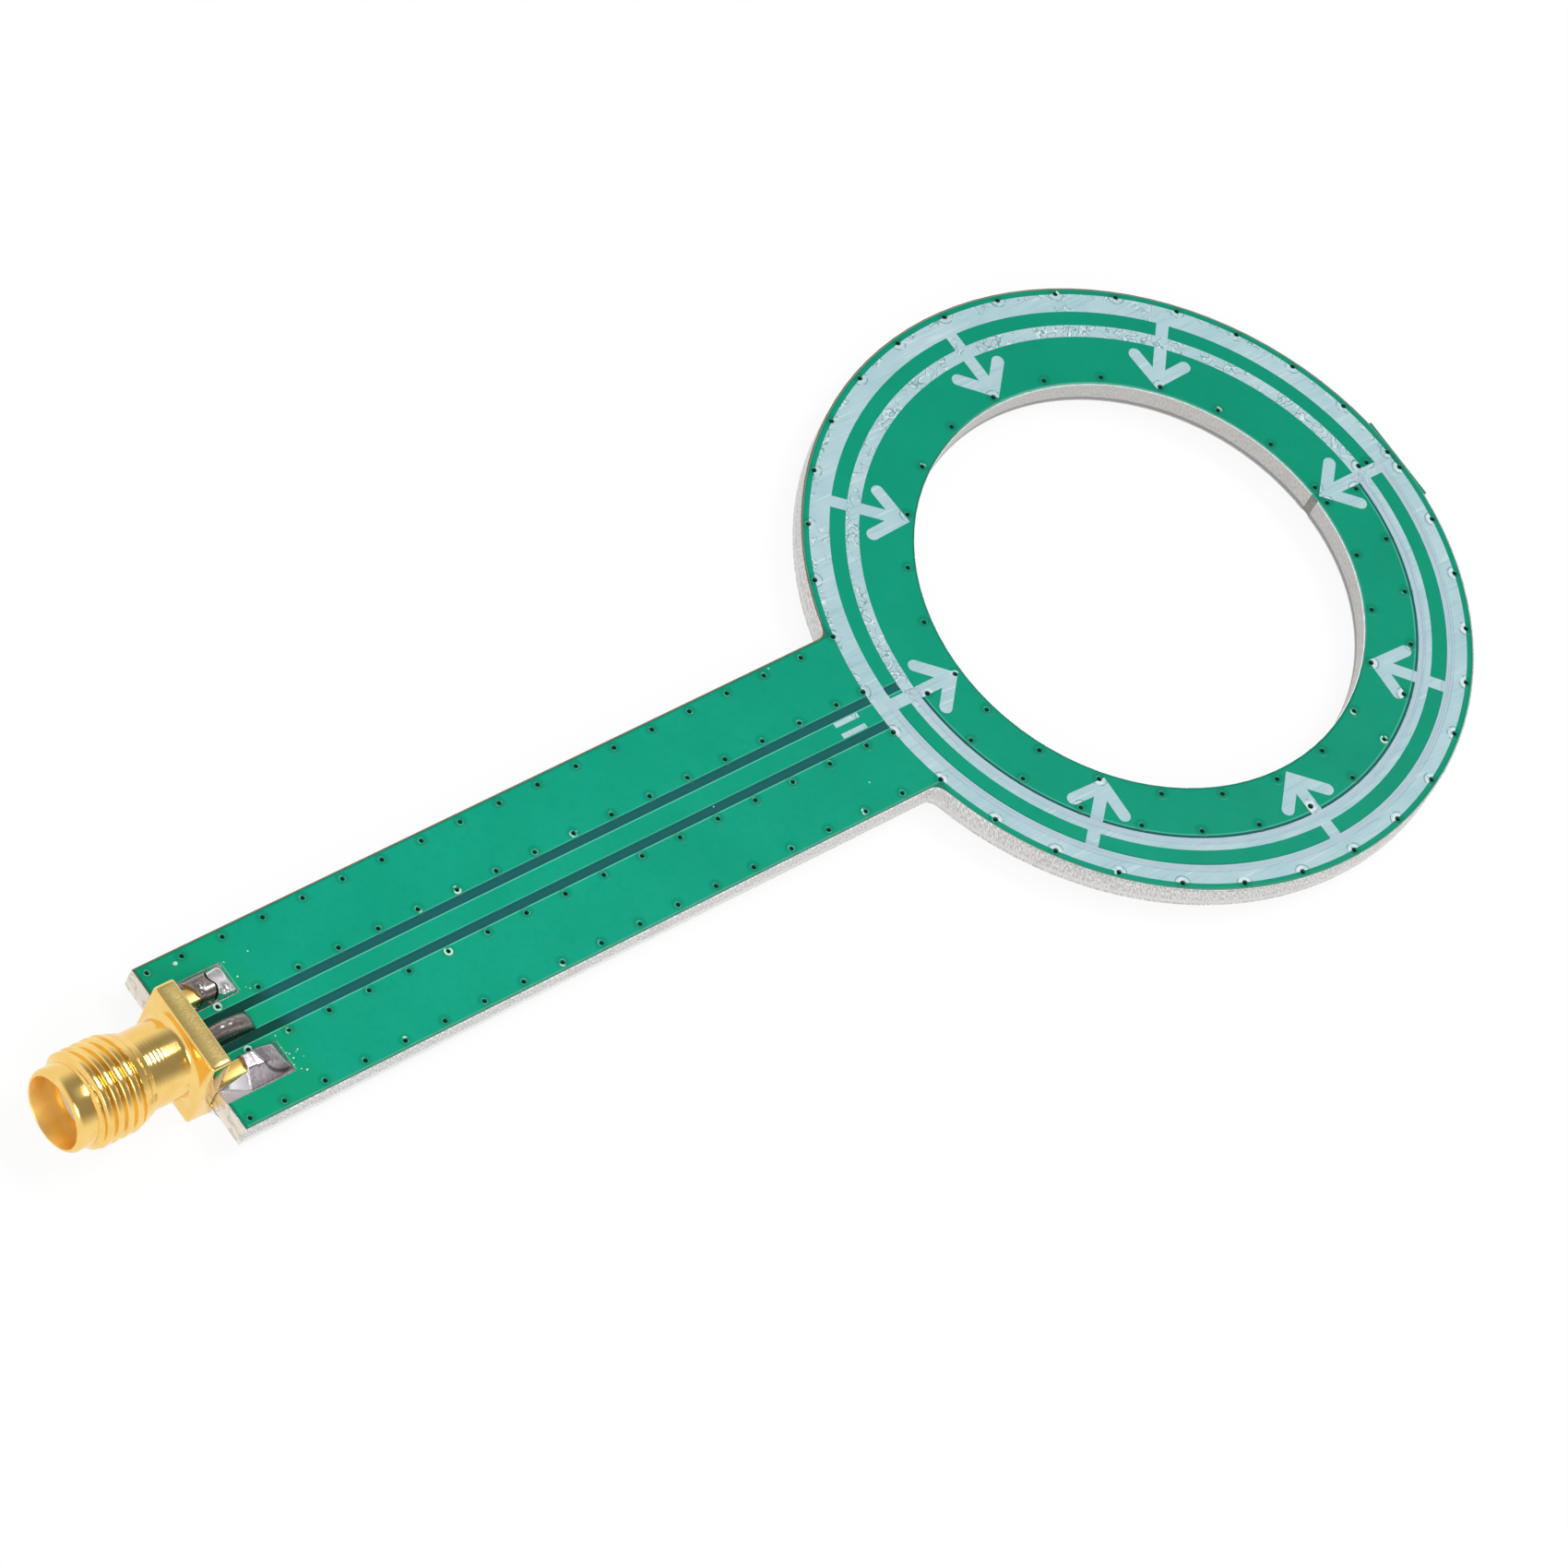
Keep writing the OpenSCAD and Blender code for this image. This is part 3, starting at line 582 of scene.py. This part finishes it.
# Painted shade: a dark band along the fold of the right joint.
fold_line = spot.maths("EXPONENT", (x - fold_start) / -fold_run) * fold_bend + fold_side
painted_fold_shade = abs(y - fold_line).rise(0.17, 0.04) * x.rise(-72.85, -72.7) * y.rise(-1.9, -2.1)
# Painted highlight: one flat side of the right joint is white.
painted_white_facet = x.rise(-73.58, -73.64) * y.rise(-3.05, -3.15)
foot = abs(z).rise(0.98, 0.91)
solder_tone = cover(skin.rise(0.35, 0.7).paint(tone(236, 232, 234), tone(216, 210, 212)),
                    (on_right * 0.85, skin.rise(0.35, 0.7).paint(tone(172, 163, 168), tone(146, 138, 143))),
                    (painted_white_facet * 0.85, tone(252, 248, 252)),
                    (painted_fold_shade * 0.75, tone(66, 56, 62)),
                    (dull, skin.mottle(tone(164, 154, 150), tone(138, 128, 125))),
                    (foot * 0.65, tone(104, 98, 98)),
                    (painted_crease_shade, tone(24, 18, 22)))
lay_on(spot, {"Base Color": solder_tone,
              "Roughness": 0.14 + skin * 0.1 + dull * 0.08 + painted_crease_shade * 0.3 + foot * 0.3},
       grain(spot, 0.8, 1.0) + skin * 0.1, 0.012)

face_height, sunk_rim, long_steps, wide_steps = 0.87, 0.03, 150, 72
pad_start, pad_end, pad_inner, pad_outer = -75.5, -70.5, 1.9, 4.05
tail_start, tail_end, tail_half = -74.9, -71.0, 0.675


def joint(name, box, up, height, stands_for):
    """A solder joint on a pad: a sheet raised by the height rule, with its rim sunk into the pad."""
    low_x, high_x, low_y, high_y = box
    floor = up * face_height
    middle = Vector(((low_x + high_x) / 2, (low_y + high_y) / 2, floor)) * MM
    sheet = bmesh.new()
    bmesh.ops.create_grid(sheet, x_segments=long_steps, y_segments=wide_steps, size=0.5,
                          matrix=Matrix.Translation(middle)
                          @ Matrix.Diagonal(((high_x - low_x) * MM, (high_y - low_y) * MM, 1.0, 1.0)))
    border = [e for e in sheet.edges if e.is_boundary]
    for v in sheet.verts:
        v.co.z += up * height(v.co.x / MM, v.co.y / MM) * MM
    skirt = bmesh.ops.extrude_edge_only(sheet, edges=border)["geom"]
    for v in [g for g in skirt if isinstance(g, bmesh.types.BMVert)]:
        v.co.z = (floor - up * sunk_rim) * MM
    bmesh.ops.holes_fill(sheet, edges=[g for g in skirt if isinstance(g, bmesh.types.BMEdge) and g.is_boundary])
    bmesh.ops.recalc_face_normals(sheet, faces=sheet.faces)
    piece(name, sheet, solder_finish, stands_for, 70)


def soft_step(value, low, high):
    """0 below low, 1 above high and a smooth step between."""
    share = min(1.0, max(0.0, (value - low) / (high - low)))
    return share * share * (3 - 2 * share)


def soft_least(first, second, blend):
    """The smaller of two heights, rounded over where they meet."""
    near = max(0.0, 1 - abs(first - second) / blend)
    return min(first, second) - near * near * blend / 4


def knob(px, py, at_x, at_y, width):
    """A round lump, 1 at its middle and fading out over its width."""
    return math.exp(-((px - at_x) ** 2 + (py - at_y) ** 2) / width ** 2)


def from_rim(px, across, corner):
    """Distance in millimetres in from the pad's border, which is rounded at its two far corners."""
    past_outer, past_inner = across - (pad_outer - leg_aside), pad_inner - leg_aside - across
    past_x, past_y = px - pad_end + corner, max(past_outer, 4 * past_inner) + corner
    outside = math.hypot(max(past_x, 0.0), max(past_y, 0.0)) + min(max(past_x, past_y), 0.0) - corner
    return max(0.0, -outside)


def inner_share(across):
    """0 on the leg, rising to 1 at the pad's inner side."""
    return max(0.0, -0.42 - across) / 0.33


def left_joint(px, py):
    """A rounded film over the leg's far half, steep at its inner side, and a tongue that slopes down beyond it."""
    across = abs(py) - leg_aside
    past = px - leg_end + wave_height * math.sin(wave * py)
    wet = soft_step(px + 0.5 * max(0.0, across), -73.56, -73.42)
    lumps = 0.1 * knob(px, across, -73.1, 0.25, 0.2) + 0.1 * knob(px, across, -73.25, -0.3, 0.22)
    film = 0.9 + wet * (0.33 - 0.9 * across ** 2 * (across < 0) + lumps)
    inner, outer = inner_share(across), max(0.0, across - 0.6) / 0.8
    film *= math.sqrt(max(0.0, 1 - inner ** 2)) * max(0.0, 1 - outer ** 2)
    film *= 1 - (inner > 0) * (1 - wet) * 0.75
    dents = 0.22 * knob(past, across, 0.55, -0.5, 0.3) + 0.12 * knob(past, across, 1.2, -0.45, 0.25)
    tongue = 0.84 - 0.34 * past - dents
    fall = soft_step(past, -0.06, 0.1)
    body = film * (1 - fall) + min(film, tongue) * fall
    return soft_least(body, 0.02 + 1.5 * from_rim(px, across, 0.6), 0.25) if past > 0 else body


def right_joint(px, py):
    """The leg's front half is bare; flat slopes fall to the pad's outer side and a hip runs to the far corner."""
    across = abs(py) - leg_aside
    wet = soft_step(px + 0.05 * math.sin(6.0 * py), -73.74, -73.6)
    film = 0.86 + wet * (0.4 - 0.07 * across - 0.12 * max(0.0, px + 73.35) ** 2)
    spread = min(1.0, max(0.0, (px + 75.2) / 1.45))
    inner, outer = inner_share(across), max(0.0, across - 0.48) / (0.05 + 0.87 * spread)
    film *= math.sqrt(max(0.0, 1 - inner ** 2)) * max(0.0, 1 - outer) ** 1.1
    film *= 1 - (outer > 0) * (1 - spread) * 0.65
    hip = 1.28 - 0.44 * max(0.0, px + 72.35) - 0.2 * (across + 0.24)
    star = abs(px + 72.0 - 0.5 * across), abs(px + 71.55 + 0.9 * across)
    hip += 0.05 * sum(math.exp(-(s / 0.07) ** 2) for s in star) * knob(px, across, -71.8, 0.35, 0.6)
    body = soft_least(film, hip, 0.08) if px > -73.0 else film
    return max(0.015, soft_least(body, 0.02 + 1.3 * from_rim(px, across, 0.25), 0.2))


def lower_joint(px, py):
    """Underneath, the leg stays bare and lies on the table; solder fills the corners beside it and beyond it."""
    across = abs(py) - leg_aside
    past = max(0.0, px - leg_end)
    beside = inner_share(across) + max(0.0, across - 0.5) / 0.9
    body = 0.76 * max(0.0, 1 - beside) ** 1.5 * max(0.0, 1 - past / (pad_end - leg_end)) ** 1.3
    return soft_least(body, 0.02 + 1.3 * from_rim(px, across, 0.4), 0.2)


def tail_joint(px, py):
    """A long dome over the contact's tail, blunt at its far end."""
    run = max(0.0, (px - tail_start) / (tail_end - tail_start))
    dome = 1.13 + 0.17 * knob(px, 0.0, -73.5, 0.0, 0.6) + 0.04 * knob(px, 0.0, -72.7, 0.0, 0.25)
    return dome * math.sqrt(max(0.0, 1 - (py / tail_half) ** 2)) * math.sqrt(max(0.0, 1 - run ** 5))


for side, word, height in ((1, "left", left_joint), (-1, "right", right_joint)):
    pad = (pad_start, pad_end, *sorted((side * pad_inner, side * pad_outer)))
    joint(f"{word}_top_joint", pad, 1, height, [f"{word}_top_solder"])
    joint(f"{word}_bottom_joint", pad, -1, lower_joint, [f"{word}_bottom_solder"])
joint("signal_joint", (tail_start, tail_end, -tail_half, tail_half), 1, tail_joint, ["signal_solder"])


# Flux spat from the iron dries as tiny pale beads on the lacquer round the joints.
# They are scattered close to the pads and thin out along the board.
bead_count, bead_height, large_bead = 18, 0.895, (-72.9, 5.2, 0.14)
bead_drift, band_start, band_width, smallest, growth = 0.6, 1.5, 2.9, 0.03, 0.035
bead_finish, spot, _ = new_finish("dried_flux", {"Specular IOR Level": 0.6})
crusted = grain(spot, 0.05, 2.0)
lay_on(spot, {"Base Color": crusted.mottle(tone(196, 226, 214), tone(238, 246, 240)),
              "Roughness": 0.25 + crusted * 0.3}, crusted, 0.01)
beads = bmesh.new()
scatter = random.Random(11)
for i in range(bead_count):
    px = pads_end + abs(scatter.gauss(0, bead_drift))
    py = (1 if i % 3 == 0 else -1) * (band_start + band_width * scatter.random())
    size = smallest + growth * scatter.random()
    if i == 0:
        px, py, size = large_bead
    bmesh.ops.create_icosphere(beads, subdivisions=2, radius=size * MM,
                               matrix=Matrix.Translation(Vector((px, py, bead_height)) * MM)
                               @ Matrix.Diagonal((1.2, 1.0, 0.6, 1.0)))
piece("flux_beads", beads, bead_finish, [])


# The probe lies on a plain white table that runs on into a white background.
# The table keeps a soft shadow under the board.
def seen_directly(tree):
    """1 for what the camera sees straight, mirrored or through glass, 0 for light that falls on other things."""
    straight, mirrored, through = [Shade(tree).node("ShaderNodeLightPath", {}, {}, out=f"Is {ray} Ray")
                                   for ray in ("Camera", "Glossy", "Transmission")]
    return straight.most(mirrored).most(through)


lowest = cad_box[0].z
white = (1, 1, 1, 1)
table = bmesh.new()
bmesh.ops.create_grid(table, x_segments=1, y_segments=1, size=3.0, matrix=Matrix.Translation((0, 0, lowest)))
table_top = show("table", to_mesh("table", table))
table_finish = plain_finish("white_table", {"Base Color": (0.94, 0.94, 0.95, 1), "Roughness": 0.9,
                                            "Specular IOR Level": 0.0})
tree = table_finish.node_tree
seen = seen_directly(tree)
lit = Shade(tree, tree.nodes["Principled BSDF"].outputs[0])
glow = seen.node("ShaderNodeEmission", {}, {"Color": white, "Strength": 1.01})
both = seen.node("ShaderNodeMixShader", {}, {0: seen * 0.9, 1: lit, 2: glow})
tree.links.new(both.socket, tree.nodes["Material Output"].inputs["Surface"])
table_top.data.materials.append(table_finish)

world = bpy.data.worlds.new("white_studio")
bpy.context.scene.world = world
world.use_nodes = True
tree = world.node_tree
tree.nodes["Background"].inputs["Color"].default_value = white
tree.links.new((0.55 + seen_directly(tree) * 0.45).socket, tree.nodes["Background"].inputs["Strength"])


# Soft studio light: one large lamp overhead and a weaker one on the connector's side.
# The room above is dim and pales down to the white table, and it shows only in reflections.
def lamp(name, place, size, watts):
    """A rectangular lamp that points at the middle of the probe."""
    light = bpy.data.lights.new(name, "AREA")
    light.shape = "RECTANGLE"
    light.size, light.size_y = size
    light.energy = watts
    hung = show(name, light)
    probe_middle = Vector((-0.03, 0, 0))
    hung.location = place
    hung.rotation_euler = (probe_middle - Vector(place)).to_track_quat("-Z", "Y").to_euler()


lamp("overhead_lamp", (0.49, -0.06, 0.9), (0.42, 0.24), 3.8)
lamp("side_lamp", (-0.42, -0.38, 0.42), (0.3, 0.3), 1.3)

room_r, dim_grey = 2.5, (0.34, 0.34, 0.34, 1)
room = bmesh.new()
bmesh.ops.create_uvsphere(room, u_segments=48, v_segments=24, radius=room_r)
room_walls = show("room", to_mesh("room", room))
for ray in ("camera", "diffuse", "transmission", "volume_scatter", "shadow"):
    setattr(room_walls, f"visible_{ray}", False)
room_finish, spot, (x, y, z) = new_finish("dim_room", {})
dim = ((z - y * 0.25 + x * 0.3) * (MM / room_r)).rise(0.25, 0.85)
glow = spot.node("ShaderNodeEmission", {}, {"Color": dim.paint(white, dim_grey), "Strength": 1.0})
spot.tree.links.new(glow.socket, spot.tree.nodes["Material Output"].inputs["Surface"])
room_walls.data.materials.append(room_finish)


# The camera looks down on the printed side along the handle, from a long way off.
# Its place and its turn were fitted to the rows of plated holes.
photo_side, focal_px = 1700, 9014.34
place = Vector((-301.28, -144.38, 408.32)) * MM
right = Vector((0.76042, -0.57423, 0.30333))
up = Vector((0.37417, 0.76916, 0.51806))
ahead = Vector((0.53080, 0.28045, -0.79975))
camera = bpy.data.cameras.new("camera")
camera.sensor_width = 36.0
camera.lens = focal_px / photo_side * camera.sensor_width
camera.clip_start, camera.clip_end = 0.01, 20.0
stand = show("camera", camera)
stand.matrix_world = Matrix.Translation(place) @ Matrix((right, up, -ahead)).transposed().to_4x4()
bpy.context.scene.camera = stand
bpy.context.scene.view_settings.view_transform = "Standard"
